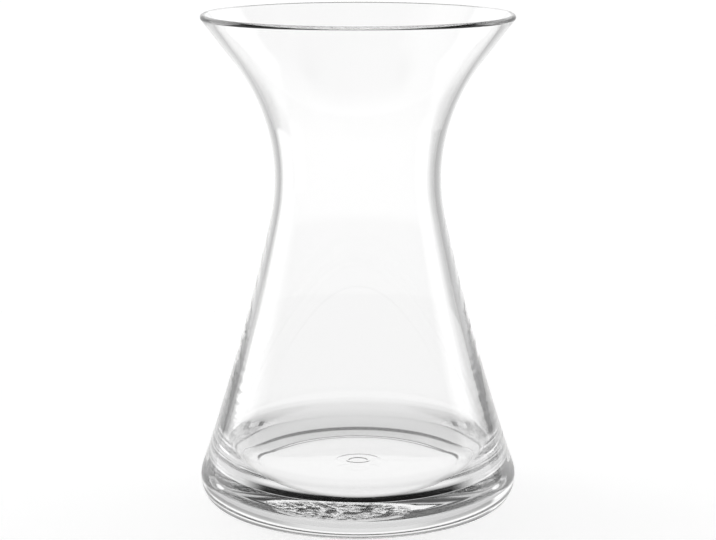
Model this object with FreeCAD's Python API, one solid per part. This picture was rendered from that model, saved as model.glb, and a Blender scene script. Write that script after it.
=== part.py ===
import FreeCAD, Part
import math
import os

# A waisted clear glass vase for forcing a hyacinth bulb, blown as one piece of glass.
# Millimetres. It stands on the plane Z = 0, and its axis of revolution is the Z axis.

# Outside of the glass
overall_height = 180.0
rim_radius = 57.0
waist_radius = 30.5
waist_height = 120.2
flank_arc_radius = 950.0
foot_radius = 59.1
shoulder_radius = 11.2
heel_radius = 4.6
heel_turn_degrees = 30.0

# How round the waist is, as a share of the arc that would meet the middle of the lip level
waist_arc_share = 0.8656

# Wall
rim_wall = 2.25
waist_wall = 2.4
foot_wall = 4.6

# Inside of the base: a crowned floor and a tight crease round it
floor_edge_height = 10.3
floor_edge_radius = 45.8
floor_crown = 0.5
crease_radius = 1.2
crease_turn_degrees = 61.5

# Shallow round dimple in the middle of the floor
dimple_radius = 9.4
dimple_depth = 0.15
dimple_edge_width = 1.5

# Underside: a flat bearing ring round a shallow push-up
bearing_inside = 41.2
step_height = 0.5
step_width = 3.0
push_up_rise = 0.2


def along(start, angle, distance):
    """The place at a distance and an angle from start, the angle counted up from straight outward."""
    return (start[0] + distance * math.cos(angle), start[1] + distance * math.sin(angle))


def direction(start, end):
    """The angle, counted up from straight outward, of the way from start to end."""
    return math.atan2(end[1] - start[1], end[0] - start[0])


def outer_crossing(centre, radius, other_centre, other_radius):
    """Of the two places at these distances from two centres, the one further from the axis."""
    gap = math.dist(centre, other_centre)
    reach = (radius ** 2 - other_radius ** 2 + gap ** 2) / (2 * gap)
    aside = math.sqrt(radius ** 2 - reach ** 2)
    heading = direction(centre, other_centre)
    between = along(centre, heading, reach)
    sides = [along(between, heading + turn, aside) for turn in (-math.pi / 2, math.pi / 2)]
    return max(sides)


class Outline:
    """The half section of the glass, as edges in the plane Y = 0 from places (radius, height)."""

    def __init__(self):
        self.edges = []

    def line(self, *places):
        points = [FreeCAD.Vector(radius, 0, height) for radius, height in places]
        for start, end in zip(points, points[1:]):
            self.edges.append(Part.LineSegment(start, end).toShape())

    def arc(self, centre, radius, first, last, as_spline=False):
        """A round stretch between two angles, the short way round. As a spline, a long one has fewer facets."""
        turn = (last - first + math.pi) % (2 * math.pi) - math.pi
        places = [along(centre, first + turn * share, radius) for share in (0, 1 / 2, 1)]
        curve = Part.Arc(*[FreeCAD.Vector(radius, 0, height) for radius, height in places])
        if as_spline:
            curve = curve.toBSpline()
        self.edges.append(curve.toShape())

    def revolved(self):
        face = Part.Face(Part.Wire(Part.__sortEdges__(self.edges)))
        return face.revolve(FreeCAD.Vector(0, 0, 0), FreeCAD.Vector(0, 0, 1), 360)


# Centres of the round stretches
lip_radius = rim_wall / 2
lip_centre = (rim_radius - lip_radius, overall_height - lip_radius)
lip_across = lip_centre[0] - waist_radius
lip_rise = lip_centre[1] - waist_height
waist_arc_radius = waist_arc_share * (lip_across ** 2 + lip_rise ** 2) / (2 * lip_across)
waist_centre = (waist_radius + waist_arc_radius, waist_height)
heel_turn = math.radians(heel_turn_degrees)
shoulder_centre = (
    foot_radius - shoulder_radius,
    heel_radius + (shoulder_radius - heel_radius) * math.sin(heel_turn),
)
heel_centre = along(shoulder_centre, -heel_turn, shoulder_radius - heel_radius)
flank_centre = outer_crossing(
    waist_centre, flank_arc_radius - waist_arc_radius, shoulder_centre, flank_arc_radius + shoulder_radius
)
crease_centre = (floor_edge_radius, floor_edge_height + crease_radius)
crease_end = math.radians(crease_turn_degrees) - math.pi / 2
crease_top = along(crease_centre, crease_end, crease_radius)

# The round corner goes on from the crease and meets the wall where its thickness is foot_wall
wall_reach = flank_arc_radius + foot_wall
crease_reach = math.dist(flank_centre, crease_top)
facing = crease_reach * math.cos(direction(flank_centre, crease_top) - crease_end)
corner_radius = (wall_reach ** 2 - crease_reach ** 2) / (-2 * (wall_reach + facing))
corner_centre = along(crease_top, crease_end, -corner_radius)
dimple_bottom = floor_edge_height + floor_crown * (1 - dimple_radius / floor_edge_radius) - dimple_depth


def draw_flared_wall(outline, waist_arc, flank_arc, side, low_centre, low_radius):
    """One face of the wall from its low round up to the top of the lip. side is 1 outside, -1 inside."""
    centre = outer_crossing(waist_centre, flank_arc - waist_arc, low_centre, flank_arc + low_radius)
    waist_start = direction(centre, waist_centre)
    outline.arc(centre, flank_arc, direction(centre, low_centre), waist_start)

    to_lip = direction(waist_centre, lip_centre)
    square = to_lip + math.acos((waist_arc + side * lip_radius) / math.dist(waist_centre, lip_centre))
    outline.arc(waist_centre, waist_arc, waist_start, square, as_spline=True)

    lip_start = square + (math.pi if side > 0 else 0)
    outline.line(along(waist_centre, square, waist_arc), along(lip_centre, lip_start, lip_radius))
    outline.arc(lip_centre, lip_radius, lip_start, math.pi / 2)
    return direction(low_centre, centre)


def draw_outside(outline):
    """From the bearing ring round the heel and the shoulder of the foot, and up to the lip."""
    top = draw_flared_wall(outline, waist_arc_radius, flank_arc_radius, 1, shoulder_centre, shoulder_radius)
    outline.arc(shoulder_centre, shoulder_radius, top, -heel_turn)
    outline.arc(heel_centre, heel_radius, -heel_turn, -math.pi / 2)


def draw_inside(outline):
    """From the lip down to the sloping corner, round the crease and over the crowned floor to the axis."""
    top = draw_flared_wall(
        outline, waist_arc_radius + waist_wall, flank_arc_radius + waist_wall, -1, corner_centre, corner_radius
    )
    outline.arc(corner_centre, corner_radius, top, crease_end)
    outline.arc(crease_centre, crease_radius, crease_end, -math.pi / 2)
    outline.line(
        (floor_edge_radius, floor_edge_height),
        (dimple_radius, dimple_bottom + dimple_depth),
        (dimple_radius - dimple_edge_width, dimple_bottom),
        (0, dimple_bottom),
    )


def draw_underside(outline):
    """From the axis over the shallow push-up and its low step to the flat bearing ring."""
    outline.line(
        (0, dimple_bottom),
        (0, step_height + push_up_rise),
        (bearing_inside - step_width, step_height),
        (bearing_inside, 0),
        (heel_centre[0], 0),
    )


def make_vase_body():
    outline = Outline()
    draw_outside(outline)
    draw_inside(outline)
    draw_underside(outline)
    return outline.revolved()


os.makedirs("parts", exist_ok=True)
make_vase_body().exportStep("parts/vase_body.step")
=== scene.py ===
import math

import bpy
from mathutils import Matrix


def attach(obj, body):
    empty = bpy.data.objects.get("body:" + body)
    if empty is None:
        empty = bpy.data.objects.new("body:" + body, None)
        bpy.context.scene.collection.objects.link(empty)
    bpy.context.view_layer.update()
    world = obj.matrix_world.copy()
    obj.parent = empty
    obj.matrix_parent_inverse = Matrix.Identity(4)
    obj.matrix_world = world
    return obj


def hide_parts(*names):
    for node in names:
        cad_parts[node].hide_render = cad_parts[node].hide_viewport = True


# A clear glass vase of revolution. Metres, with the vase standing on Z = 0 and its axis on Z.
# A pair of numbers is where a smooth change starts and where it ends, unless its heading says otherwise.

# Outside of the glass
OVERALL_HEIGHT = 0.180
RIM_RADIUS = 0.057
WAIST_RADIUS = 0.0305
WAIST_HEIGHT = 0.1202
WAIST_ARC_RADIUS = 0.0697
FLANK_ARC_RADIUS = 0.950
FOOT_RADIUS = 0.0591
SHOULDER_RADIUS = 0.0112
HEEL_RADIUS = 0.0046
HEEL_TURN = math.radians(30)

# Wall, rim and hollow
RIM_WALL = 0.00225
WAIST_WALL = 0.0024
FOOT_WALL = 0.0046
FLOOR_EDGE_HEIGHT = 0.0103
FLOOR_EDGE_RADIUS = 0.0458
FLOOR_CROWN = 0.0005
CREASE_RADIUS = 0.0012
CREASE_TURN = math.radians(61.5)

# Underside
BEARING_INSIDE = 0.0412
STEP_HEIGHT = 0.0005
STEP_WIDTH = 0.0030
PUSH_UP_RISE = 0.0002

# Shallow round dimple in the middle of the floor, with a plain ring in it
DIMPLE_RADIUS = 0.0094
DIMPLE_DEPTH = 0.00012
DIMPLE_EDGE_WIDTH = 0.0016
RING_RADIUS = 0.0040
RING_HALF_WIDTH = 0.0008
RING_HEIGHT = 0.00016

# Oval patch of chill wrinkles low on the front of the foot: turn from the front in radians, and height
WRINKLE_CENTRE = (-0.11, 0.0112)
WRINKLE_HALF_SIZE = (0.50, 0.0034)

# Chill wrinkles, which fade out towards the edge of the patch and keep to the outside of the foot. Their
# creases get painted shade: a nearly black base colour.
WRINKLE_EDGE = (1.0, 0.45)
WRINKLE_OUTSIDE = (0.052, 0.054)
WRINKLE_STRETCH = (300.0, 300.0, 1300.0)
WRINKLE_DETAIL = 2.0
WRINKLE_DEPTH = 0.0003
# Painted shade: between these noise levels the base colour darkens to this nearly black tone in the creases
PAINTED_CREASE_LEVELS = (0.48, 0.58)
PAINTED_CREASE_SHADE = 0.04

# Slow waves that the mould left at the sides of the low part of the wall
WAVE_TOP = (0.085, 0.030)
WAVE_BOTTOM = (0.008, 0.014)
WAVE_STRETCH = (60.0, 60.0, 450.0)
WAVE_DETAIL = 1.0
WAVE_SIDE = (0.80, 0.93)
WAVE_DEPTH = 0.00004

# Glass
GLASS_IOR = 1.52
GLASS_DENSITY = 2.6

# How finely the outline is divided
COLUMNS = 240
LARGEST_TURN = math.radians(3)
LONGEST_STEP = 0.0025
DIMPLE_MARGIN = 0.001
DIMPLE_RINGS = 60
FLOOR_STEP = 0.0015
UNDER_STEP_RINGS = 10
PUSH_UP_RINGS = 24

# Camera, as the photograph was taken
CAMERA_DISTANCE = 0.7207
CAMERA_HEIGHT = 0.2372
CAMERA_PITCH = math.radians(11.898)
CAMERA_LENS_MM = 100
CAMERA_SENSOR_MM = 36

# Kinds of path, told apart by how many surfaces the ray has met: through an edge of the wall only,
# reflected inside the glass, reflected many times, and guided down the wall from the rim.
# A pair here is the least and the most.
EDGE_DEPTHS = (1.5, 3.5)
REFLECTED_DEPTH = 4.5
FLOOR_LONG_DEPTH = 6.5
GUIDED_DEPTH = 15.5
WORLD_LONG_DEPTHS = (7.5, GUIDED_DEPTH)
BOUNCES = 48

# Studio light by direction. Its level round the vase goes by degrees to the right of straight behind, and its
# level upward by height from -1 to 1. The other values even it out, dim it or lift it in some directions.
BRIGHTEST = 1.6
LEVEL_ROUND = [
    (-180, 0.62), (-80, 0.62), (-74, 1.0), (-48, 1.0), (-43, 0.3), (-25, 0.4), (-10, 0.65),
    (10, 0.65), (25, 0.35), (60, 0.25), (66, 1.0), (84, 1.0), (90, 0.62), (180, 0.62),
]
LEVEL_UP = [(-1, 0.9), (0, 1.0), (0.38, 1.0), (0.54, 0.15), (1, 0.08)]
EVEN_FROM = (0.08, 0.28)
EVEN_LEVEL = 0.55
SIDE_OPEN_FROM = (48, 62)
SIDE_OPEN_LEVEL = 0.7
FRONT_FROM = (98, 120)
FRONT_DIM_FROM = (0.38, 0.72)
FRONT_DIM_LEVEL = 0.15
TOP_DIM_FROM = (0.45, 0.75)
TOP_DIM_SIDE = (0.0, 0.35)
TOP_DIM_LEVEL = 0.3
PANEL_SIDE = (80, 62)
PANEL_LOW = (0.14, 0.24)
PANEL_HIGH = (0.64, 0.54)
PANEL_LEVEL = 0.85
WORLD_LONG_LEVEL = 0.6
WORLD_EDGE_FROM = (82, 95)
WORLD_EDGE_RISE = (0.02, 0.15)
WORLD_EDGE_LEVEL = 0.2

# Floor, with soft rings of painted shadow under and round the foot that only rays from the glass see, each
# stop a radius in metres and a level
FLOOR_HALF = 0.30
FLOOR_DROP = 0.0002
FLOOR_COLOUR = 0.85
FLOOR_GLOW = 0.72
SHADE_REACH = 0.15
FRONT_SHADE = [
    (0, 1.0), (0.039, 1.0), (0.0435, 0.5), (0.047, 0.05), (0.048, 0.0),
    (0.0545, 0.0), (0.057, 0.6), (0.059, 1.0), (SHADE_REACH, 1.0),
]
BACK_SHADE = [
    (0, 1.0), (0.036, 1.0), (0.043, 0.75), (0.049, 0.7), (0.0496, 0.0), (0.053, 0.0),
    (0.0542, 0.55), (0.057, 0.75), (0.068, 0.72), (0.078, 0.82), (0.095, 1.0), (SHADE_REACH, 1.0),
]
SIDE_SHADE = [(0, 1.0), (0.042, 1.0), (0.048, 0.75), (0.10, 0.8), (0.12, 1.0), (SHADE_REACH, 1.0)]
BEHIND_FROM = (-0.5, 0.5)
SIDE_FROM = (0.74, 0.93)
# Painted shade and light on the floor by path: darker for long paths inside the glass, brighter where rays
# guided down the wall from the rim land, and darker behind the foot for paths through an edge of the wall
FLOOR_LONG_LEVEL = 0.6
GUIDED_LEVEL = 1.6
FLOOR_EDGE_FROM = (0.058, 0.066)
FLOOR_EDGE_TO = (0.6, 0.25)
FLOOR_EDGE_BEHIND = (0.35, 0.6)
FLOOR_EDGE_STEEPNESS = (0.05, 0.02)
FLOOR_EDGE_LEVEL = 0.15


def along(start, angle, distance):
    return (start[0] + distance * math.cos(angle), start[1] + distance * math.sin(angle))


def direction(start, end):
    return math.atan2(end[1] - start[1], end[0] - start[0])


def outer_crossing(centre, radius, other_centre, other_radius):
    gap = math.dist(centre, other_centre)
    reach = (radius ** 2 - other_radius ** 2 + gap ** 2) / (2 * gap)
    aside = math.sqrt(radius ** 2 - reach ** 2)
    heading = direction(centre, other_centre)
    between = along(centre, heading, reach)
    return max(along(between, heading + turn, aside) for turn in (-math.pi / 2, math.pi / 2))


def arc(centre, radius, first, last):
    """Places (radius, height) along a round stretch, the short way round."""
    turn = (last - first + math.pi) % (2 * math.pi) - math.pi
    steps = max(math.ceil(abs(turn) / LARGEST_TURN), math.ceil(abs(turn) * radius / LONGEST_STEP), 1)
    return [along(centre, first + turn * step / steps, radius) for step in range(steps + 1)]


def straight(start, end):
    steps = max(math.ceil(math.dist(start, end) / LONGEST_STEP), 1)
    return [tuple(a + (b - a) * step / steps for a, b in zip(start, end)) for step in range(steps + 1)]


LIP_RADIUS = RIM_WALL / 2
LIP_CENTRE = (RIM_RADIUS - LIP_RADIUS, OVERALL_HEIGHT - LIP_RADIUS)
WAIST_CENTRE = (WAIST_RADIUS + WAIST_ARC_RADIUS, WAIST_HEIGHT)
SHOULDER_CENTRE = (
    FOOT_RADIUS - SHOULDER_RADIUS,
    HEEL_RADIUS + (SHOULDER_RADIUS - HEEL_RADIUS) * math.sin(HEEL_TURN),
)
HEEL_CENTRE = along(SHOULDER_CENTRE, -HEEL_TURN, SHOULDER_RADIUS - HEEL_RADIUS)
FLANK_CENTRE = outer_crossing(
    WAIST_CENTRE, FLANK_ARC_RADIUS - WAIST_ARC_RADIUS, SHOULDER_CENTRE, FLANK_ARC_RADIUS + SHOULDER_RADIUS
)
CREASE_CENTRE = (FLOOR_EDGE_RADIUS, FLOOR_EDGE_HEIGHT + CREASE_RADIUS)
CREASE_END = CREASE_TURN - math.pi / 2
CREASE_TOP = along(CREASE_CENTRE, CREASE_END, CREASE_RADIUS)


def corner_that_meets_the_wall():
    """The radius of the round that goes on from the crease and ends on the wall at its thickness there."""
    across, up = CREASE_TOP[0] - FLANK_CENTRE[0], CREASE_TOP[1] - FLANK_CENTRE[1]
    reach = FLANK_ARC_RADIUS + FOOT_WALL
    facing = across * math.cos(CREASE_END) + up * math.sin(CREASE_END)
    return (across ** 2 + up ** 2 - reach ** 2) / (2 * (reach + facing))


CORNER_RADIUS = corner_that_meets_the_wall()
CORNER_CENTRE = along(CREASE_TOP, CREASE_END, -CORNER_RADIUS)


def flared_wall(waist_arc, flank_arc, side, low_centre, low_radius):
    """One face of the wall from its low round to the top of the rim, and the angle where that round ends."""
    centre = outer_crossing(WAIST_CENTRE, flank_arc - waist_arc, low_centre, flank_arc + low_radius)
    waist_start = direction(centre, WAIST_CENTRE)
    square = direction(WAIST_CENTRE, LIP_CENTRE) + math.acos(
        (waist_arc + side * LIP_RADIUS) / math.dist(WAIST_CENTRE, LIP_CENTRE)
    )
    lip_start = square + (math.pi if side > 0 else 0)
    stretches = [
        arc(centre, flank_arc, direction(centre, low_centre), waist_start),
        arc(WAIST_CENTRE, waist_arc, waist_start, square),
        straight(along(WAIST_CENTRE, square, waist_arc), along(LIP_CENTRE, lip_start, LIP_RADIUS)),
        arc(LIP_CENTRE, LIP_RADIUS, lip_start, math.pi / 2),
    ]
    return join(*stretches), direction(low_centre, centre)


def join(*stretches):
    """One run of places from stretches that meet end to end."""
    places = list(stretches[0])
    for stretch in stretches[1:]:
        places += stretch[1:]
    return places


def cap_height(edge_radius, rise, radius):
    """How high a shallow round cap stands over its edge at some radius."""
    curve = (edge_radius ** 2 + rise ** 2) / (2 * rise)
    return rise - curve + math.sqrt(curve ** 2 - radius ** 2)


def glass_outline():
    """The half section of the glass from the middle of the floor over the rim to the middle underneath."""
    outside, shoulder_top = flared_wall(
        WAIST_ARC_RADIUS, FLANK_ARC_RADIUS, 1, SHOULDER_CENTRE, SHOULDER_RADIUS
    )
    inside, corner_top = flared_wall(
        WAIST_ARC_RADIUS + WAIST_WALL, FLANK_ARC_RADIUS + WAIST_WALL, -1, CORNER_CENTRE, CORNER_RADIUS
    )
    return join(
        floor_with_mark(),
        arc(CREASE_CENTRE, CREASE_RADIUS, -math.pi / 2, CREASE_END),
        arc(CORNER_CENTRE, CORNER_RADIUS, CREASE_END, corner_top),
        inside,
        outside[::-1],
        arc(SHOULDER_CENTRE, SHOULDER_RADIUS, shoulder_top, -HEEL_TURN),
        arc(HEEL_CENTRE, HEEL_RADIUS, -HEEL_TURN, -math.pi / 2),
        underside(),
    )


def smooth(share):
    """Rises from 0 to 1 without a kink at either end."""
    share = min(max(share, 0), 1)
    return share * share * (3 - 2 * share)


def floor_with_mark():
    """The crowned floor from the middle outward, with the shallow dimple and its ring."""
    fine = DIMPLE_RADIUS + DIMPLE_MARGIN
    radii = [fine * step / DIMPLE_RINGS for step in range(DIMPLE_RINGS + 1)]
    steps = math.ceil((FLOOR_EDGE_RADIUS - fine) / FLOOR_STEP)
    radii += [fine + (FLOOR_EDGE_RADIUS - fine) * (step + 1) / steps for step in range(steps)]
    places = []
    for radius in radii:
        height = FLOOR_EDGE_HEIGHT + cap_height(FLOOR_EDGE_RADIUS, FLOOR_CROWN, radius)
        height -= DIMPLE_DEPTH * smooth((DIMPLE_RADIUS - radius) / DIMPLE_EDGE_WIDTH)
        height += RING_HEIGHT * smooth(1 - abs(radius - RING_RADIUS) / RING_HALF_WIDTH)
        places.append((radius, height))
    return places


def underside():
    """From the heel over the flat bearing ring and its low step to the middle of the push-up."""
    places = straight((HEEL_CENTRE[0], 0), (BEARING_INSIDE, 0))
    step_inside = BEARING_INSIDE - STEP_WIDTH
    for step in range(1, UNDER_STEP_RINGS + 1):
        share = step / UNDER_STEP_RINGS
        places.append((BEARING_INSIDE - STEP_WIDTH * share, STEP_HEIGHT * smooth(share)))
    for step in range(1, PUSH_UP_RINGS + 1):
        radius = step_inside * (1 - step / PUSH_UP_RINGS)
        places.append((radius, STEP_HEIGHT + cap_height(step_inside, PUSH_UP_RISE, radius)))
    return places


def lathe(name, outline):
    """A closed mesh made by turning an outline that starts and ends on the axis."""
    rings = outline[1:-1]
    vertices = [(0, 0, outline[0][1])]
    for radius, height in rings:
        for column in range(COLUMNS):
            angle = 2 * math.pi * column / COLUMNS
            vertices.append((radius * math.cos(angle), radius * math.sin(angle), height))
    vertices.append((0, 0, outline[-1][1]))
    last = len(vertices) - 1
    faces = []
    for column in range(COLUMNS):
        beside = (column + 1) % COLUMNS
        faces.append((0, 1 + column, 1 + beside))
        for ring in range(len(rings) - 1):
            low = 1 + ring * COLUMNS
            high = low + COLUMNS
            faces.append((low + column, high + column, high + beside, low + beside))
        end = 1 + (len(rings) - 1) * COLUMNS
        faces.append((end + column, last, end + beside))
    mesh = bpy.data.meshes.new(name)
    mesh.from_pydata(vertices, [], faces)
    mesh.validate()
    mesh.shade_smooth()
    body = bpy.data.objects.new(name, mesh)
    bpy.context.collection.objects.link(body)
    return body


class Graph:
    """Short ways to add nodes to a material or world."""

    def __init__(self, tree):
        self.nodes = tree.nodes
        self.links = tree.links

    def add(self, kind, **settings):
        node = self.nodes.new(kind)
        for name, value in settings.items():
            setattr(node, name, value)
        return node

    def feed(self, socket, value):
        if isinstance(value, bpy.types.NodeSocket):
            self.links.new(value, socket)
        else:
            socket.default_value = value

    def math(self, operation, *values):
        node = self.add("ShaderNodeMath", operation=operation)
        for socket, value in zip(node.inputs, values):
            self.feed(socket, value)
        return node.outputs[0]

    def product(self, *values):
        total = values[0]
        for value in values[1:]:
            total = self.math("MULTIPLY", total, value)
        return total

    def between(self, value, low, high):
        """1 where the value is over low and not over high, and 0 elsewhere."""
        over_low, over_high = (self.math("GREATER_THAN", value, limit) for limit in (low, high))
        return self.math("SUBTRACT", over_low, over_high)

    def fade(self, value, start, end):
        """Goes smoothly from 0 at start to 1 at end, whichever is larger."""
        node = self.add("ShaderNodeMapRange", interpolation_type="SMOOTHSTEP")
        for socket, number in zip(node.inputs, (value, start, end, 0.0, 1.0)):
            self.feed(socket, number)
        return node.outputs[0]

    def mix(self, share, start, end):
        """Goes straight from start at share 0 to end at share 1."""
        node = self.add("ShaderNodeMapRange")
        for socket, number in zip(node.inputs, (share, 0.0, 1.0, start, end)):
            self.feed(socket, number)
        return node.outputs[0]

    def split(self, place):
        node = self.add("ShaderNodeSeparateXYZ")
        self.feed(node.inputs[0], place)
        return node.outputs

    def length(self, place):
        node = self.add("ShaderNodeVectorMath", operation="LENGTH")
        self.feed(node.inputs[0], place)
        return node.outputs["Value"]

    def noise(self, place, stretch, detail):
        """Noise with about so many waves to the metre along x, y and z."""
        scaled = self.add("ShaderNodeVectorMath", operation="MULTIPLY")
        self.feed(scaled.inputs[0], place)
        self.feed(scaled.inputs[1], stretch)
        node = self.add("ShaderNodeTexNoise")
        self.feed(node.inputs["Vector"], scaled.outputs[0])
        self.feed(node.inputs["Scale"], 1.0)
        self.feed(node.inputs["Detail"], detail)
        return node.outputs["Fac"]

    def bump(self, height, depth, under=None):
        node = self.add("ShaderNodeBump")
        self.feed(node.inputs["Strength"], 1.0)
        self.feed(node.inputs["Distance"], depth)
        self.feed(node.inputs["Height"], height)
        if under:
            self.feed(node.inputs["Normal"], under)
        return node.outputs[0]

    def curve(self, value, stops):
        """A smooth curve through (position, level) stops, with positions and levels from 0 to 1."""
        node = self.add("ShaderNodeValToRGB")
        node.color_ramp.interpolation = "EASE"
        ramp = node.color_ramp.elements
        for index, (position, level) in enumerate(stops):
            element = ramp[index] if index < 2 else ramp.new(position)
            element.position = position
            element.color = (level, level, level, 1)
        self.feed(node.inputs[0], value)
        return node.outputs[0]

    def mix_shaders(self, share, first, second):
        node = self.add("ShaderNodeMixShader")
        self.feed(node.inputs[0], share)
        self.feed(node.inputs[1], first)
        self.feed(node.inputs[2], second)
        return node.outputs[0]

    def add_shaders(self, first, second):
        node = self.add("ShaderNodeAddShader")
        self.feed(node.inputs[0], first)
        self.feed(node.inputs[1], second)
        return node.outputs[0]


def clear_glass():
    """Clear glass with slow waves at the sides of the lower wall and chill wrinkles low on the front, with
    painted shade in their creases.
    """
    material = bpy.data.materials.new("clear_glass")
    material.use_nodes = True
    graph = Graph(material.node_tree)
    shader = graph.nodes["Principled BSDF"]
    shader.inputs["Roughness"].default_value = 0
    shader.inputs["IOR"].default_value = GLASS_IOR
    shader.inputs["Transmission Weight"].default_value = 1
    place = graph.add("ShaderNodeTexCoord").outputs["Object"]
    x, y, z = graph.split(place)
    radius = graph.math("SQRT", graph.math("ADD", graph.product(x, x), graph.product(y, y)))
    wrinkles, painted_crease_mask, patch = chill_wrinkles(graph, place, x, y, z, radius)
    # Painted shade: the base colour darkens to nearly black in the creases of the wrinkles.
    graph.feed(shader.inputs["Base Color"], graph.mix(painted_crease_mask, 1.0, PAINTED_CREASE_SHADE))
    wave_bump = graph.bump(mould_waves(graph, place, x, z, radius), WAVE_DEPTH)
    bump = graph.bump(graph.product(wrinkles, patch), WRINKLE_DEPTH, wave_bump)
    graph.feed(shader.inputs["Normal"], bump)
    body = graph.add("ShaderNodeVolumeAbsorption")
    body.inputs["Color"].default_value = (0, 0, 0, 1)
    body.inputs["Density"].default_value = GLASS_DENSITY
    graph.feed(graph.nodes["Material Output"].inputs["Volume"], body.outputs[0])
    return material


def chill_wrinkles(graph, place, x, y, z, radius):
    """The wrinkles, the mask of painted shade in their creases, and the oval patch on the outside that they
    keep to.
    """
    turn = graph.math("ARCTAN2", x, graph.math("MULTIPLY", y, -1.0))
    off_centre = [
        graph.math("DIVIDE", graph.math("SUBTRACT", value, centre), half)
        for value, centre, half in zip((turn, z), WRINKLE_CENTRE, WRINKLE_HALF_SIZE)
    ]
    away = graph.math("ADD", *[graph.product(value, value) for value in off_centre])
    patch = graph.product(graph.fade(away, *WRINKLE_EDGE), graph.fade(radius, *WRINKLE_OUTSIDE))
    wrinkles = graph.noise(place, WRINKLE_STRETCH, WRINKLE_DETAIL)
    return wrinkles, graph.product(patch, graph.fade(wrinkles, *PAINTED_CREASE_LEVELS)), patch


def mould_waves(graph, place, x, z, radius):
    """Slow waves that fade out above, below and towards the front and back."""
    waves = graph.noise(place, WAVE_STRETCH, WAVE_DETAIL)
    low_wall = graph.product(graph.fade(z, *WAVE_TOP), graph.fade(z, *WAVE_BOTTOM))
    aside = graph.math("ABSOLUTE", graph.math("DIVIDE", x, radius))
    return graph.product(waves, low_wall, graph.fade(aside, *WAVE_SIDE))


def light_by_direction(graph):
    """The studio light by direction, how far that is from straight behind in degrees, and its height."""
    x, y, z = graph.split(graph.add("ShaderNodeTexCoord").outputs["Generated"])
    degrees = graph.math("MULTIPLY", graph.math("ARCTAN2", x, y), math.degrees(1))
    off_back = graph.math("ABSOLUTE", degrees)

    round_stops = [(0.5 + stop / 360, level) for stop, level in LEVEL_ROUND]
    level_round = graph.curve(graph.math("MULTIPLY_ADD", degrees, 1 / 360, 0.5), round_stops)
    level_round = graph.mix(graph.fade(z, *EVEN_FROM), level_round, EVEN_LEVEL)

    up_stops = [(0.5 + stop / 2, level) for stop, level in LEVEL_UP]
    level_up = graph.curve(graph.math("MULTIPLY_ADD", z, 0.5, 0.5), up_stops)
    side_open = graph.product(graph.fade(off_back, *SIDE_OPEN_FROM), SIDE_OPEN_LEVEL)
    level_up = graph.math("MAXIMUM", level_up, side_open)
    front_up = graph.mix(graph.fade(z, *FRONT_DIM_FROM), 1.0, FRONT_DIM_LEVEL)
    level_up = graph.mix(graph.fade(off_back, *FRONT_FROM), level_up, front_up)

    top_dim = graph.product(graph.fade(z, *TOP_DIM_FROM), graph.fade(x, *TOP_DIM_SIDE))
    level = graph.product(level_round, level_up, graph.mix(top_dim, 1.0, TOP_DIM_LEVEL))
    panel = graph.product(
        graph.fade(off_back, *PANEL_SIDE), graph.fade(z, *PANEL_LOW), graph.fade(z, *PANEL_HIGH), PANEL_LEVEL
    )
    return graph.product(graph.math("MAXIMUM", level, panel), BRIGHTEST), off_back, z


def make_world():
    """White for the camera. For all other rays, a studio with white panels and darker parts."""
    world = bpy.data.worlds.new("studio")
    bpy.context.scene.world = world
    world.use_nodes = True
    graph = Graph(world.node_tree)
    level, off_back, z = light_by_direction(graph)
    path = graph.add("ShaderNodeLightPath").outputs
    long_path = graph.between(path["Ray Depth"], *WORLD_LONG_DEPTHS)
    level = graph.product(level, graph.mix(long_path, 1.0, WORLD_LONG_LEVEL))
    edge = graph.product(
        graph.between(path["Ray Depth"], *EDGE_DEPTHS),
        graph.fade(off_back, *WORLD_EDGE_FROM),
        graph.fade(z, *WORLD_EDGE_RISE),
    )
    level = graph.product(level, graph.mix(edge, 1.0, WORLD_EDGE_LEVEL))
    background = graph.nodes["Background"]
    graph.feed(background.inputs["Strength"], graph.math("MAXIMUM", level, path["Is Camera Ray"]))
    background.inputs["Color"].default_value = (1, 1, 1, 1)


def floor_level(graph, path):
    """How brightly the floor glows to rays that come through the glass or off it, with painted shadow rings
    and painted shade and light by kind of path.
    """
    place = graph.add("ShaderNodeTexCoord").outputs["Object"]
    radius = graph.length(place)
    x, y, _ = graph.split(place)
    back = graph.math("DIVIDE", y, radius)
    aside = graph.math("ABSOLUTE", graph.math("DIVIDE", x, radius))

    share = graph.math("DIVIDE", radius, SHADE_REACH)
    in_front, behind, beside = (
        graph.curve(share, [(stop / SHADE_REACH, level) for stop, level in stops])
        for stops in (FRONT_SHADE, BACK_SHADE, SIDE_SHADE)
    )
    # Painted shadow rings: darker rings under and round the foot, one set in front, one behind and one at the
    # sides.
    level = graph.mix(graph.fade(back, *BEHIND_FROM), in_front, behind)
    level = graph.mix(graph.fade(aside, *SIDE_FROM), level, beside)

    # Painted shade and light by path: no rings for reflected paths, darker for long paths, darker behind the
    # foot for paths through an edge of the wall, brighter for guided paths.
    depth = path["Ray Depth"]
    level = graph.mix(graph.math("GREATER_THAN", depth, REFLECTED_DEPTH), level, 1.0)
    level = graph.mix(graph.math("GREATER_THAN", depth, FLOOR_LONG_DEPTH), level, FLOOR_LONG_LEVEL)
    edge = graph.product(
        graph.between(depth, *EDGE_DEPTHS),
        graph.fade(radius, *FLOOR_EDGE_FROM),
        graph.fade(radius, *FLOOR_EDGE_TO),
        graph.fade(back, *FLOOR_EDGE_BEHIND),
        graph.fade(graph.math("SUBTRACT", path["Ray Length"], radius), *FLOOR_EDGE_STEEPNESS),
    )
    level = graph.product(level, graph.mix(edge, 1.0, FLOOR_EDGE_LEVEL))
    return graph.mix(graph.math("GREATER_THAN", depth, GUIDED_DEPTH), level, GUIDED_LEVEL)


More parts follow.
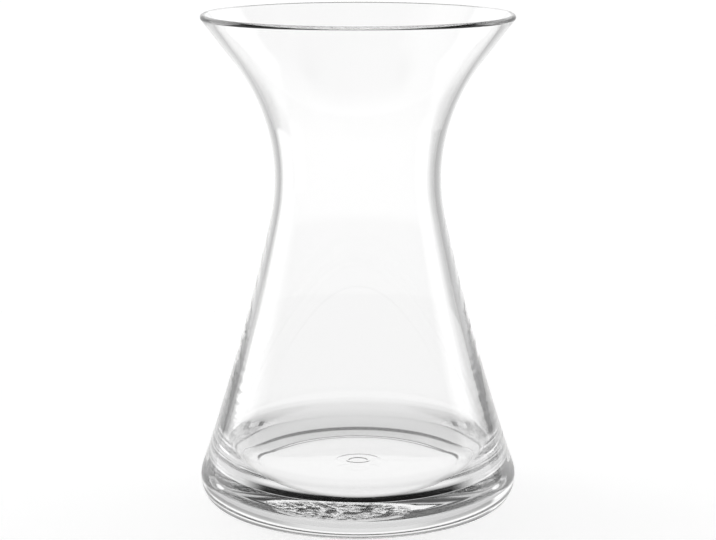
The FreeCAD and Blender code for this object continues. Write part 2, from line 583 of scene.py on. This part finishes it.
def floor_material():
    """A matt floor that the camera sees as white with the vase's shadow, and the glass as a glowing card with
    painted shadow rings.
    """
    material = bpy.data.materials.new("floor")
    material.use_nodes = True
    graph = Graph(material.node_tree)
    graph.nodes.remove(graph.nodes["Principled BSDF"])
    path = graph.add("ShaderNodeLightPath").outputs
    camera_ray = path["Is Camera Ray"]
    by_glass = graph.math("MAXIMUM", path["Is Glossy Ray"], path["Is Transmission Ray"])
    matt = graph.add("ShaderNodeBsdfDiffuse")
    matt.inputs["Color"].default_value = (FLOOR_COLOUR, FLOOR_COLOUR, FLOOR_COLOUR, 1)
    glow = graph.add("ShaderNodeEmission")
    graph.feed(glow.inputs["Strength"], graph.mix(camera_ray, floor_level(graph, path), FLOOR_GLOW))
    through_glass = graph.mix_shaders(by_glass, matt.outputs[0], glow.outputs[0])
    to_camera = graph.add_shaders(matt.outputs[0], glow.outputs[0])
    surface = graph.mix_shaders(camera_ray, through_glass, to_camera)
    graph.feed(graph.nodes["Material Output"].inputs["Surface"], surface)
    return material


def make_floor():
    mesh = bpy.data.meshes.new("floor")
    half = FLOOR_HALF
    corners = [(-half, -half, 0), (half, -half, 0), (half, half, 0), (-half, half, 0)]
    mesh.from_pydata(corners, [], [(0, 1, 2, 3)])
    mesh.materials.append(floor_material())
    floor = bpy.data.objects.new("floor", mesh)
    floor.location = (0, 0, -FLOOR_DROP)
    bpy.context.collection.objects.link(floor)


def make_camera():
    camera = bpy.data.cameras.new("camera")
    camera.lens = CAMERA_LENS_MM
    camera.sensor_width = CAMERA_SENSOR_MM
    holder = bpy.data.objects.new("camera", camera)
    holder.location = (0, -CAMERA_DISTANCE, CAMERA_HEIGHT)
    holder.rotation_euler = (math.pi / 2 - CAMERA_PITCH, 0, 0)
    bpy.context.collection.objects.link(holder)
    bpy.context.scene.camera = holder


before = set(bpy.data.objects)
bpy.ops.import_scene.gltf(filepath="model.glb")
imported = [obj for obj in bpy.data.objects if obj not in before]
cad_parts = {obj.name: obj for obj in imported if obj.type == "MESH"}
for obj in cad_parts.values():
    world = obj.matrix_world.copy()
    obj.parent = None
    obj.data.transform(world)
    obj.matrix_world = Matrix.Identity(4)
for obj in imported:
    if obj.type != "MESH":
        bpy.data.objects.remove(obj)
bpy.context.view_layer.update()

vase = lathe("vase_glass", glass_outline())
vase.data.materials.append(clear_glass())
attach(vase, "root")
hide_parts("vase_body")

make_world()
make_floor()
make_camera()
bpy.context.scene.view_settings.view_transform = "Standard"
bpy.context.scene.cycles.max_bounces = BOUNCES
bpy.context.scene.cycles.transmission_bounces = BOUNCES
bpy.context.scene.cycles.glossy_bounces = BOUNCES
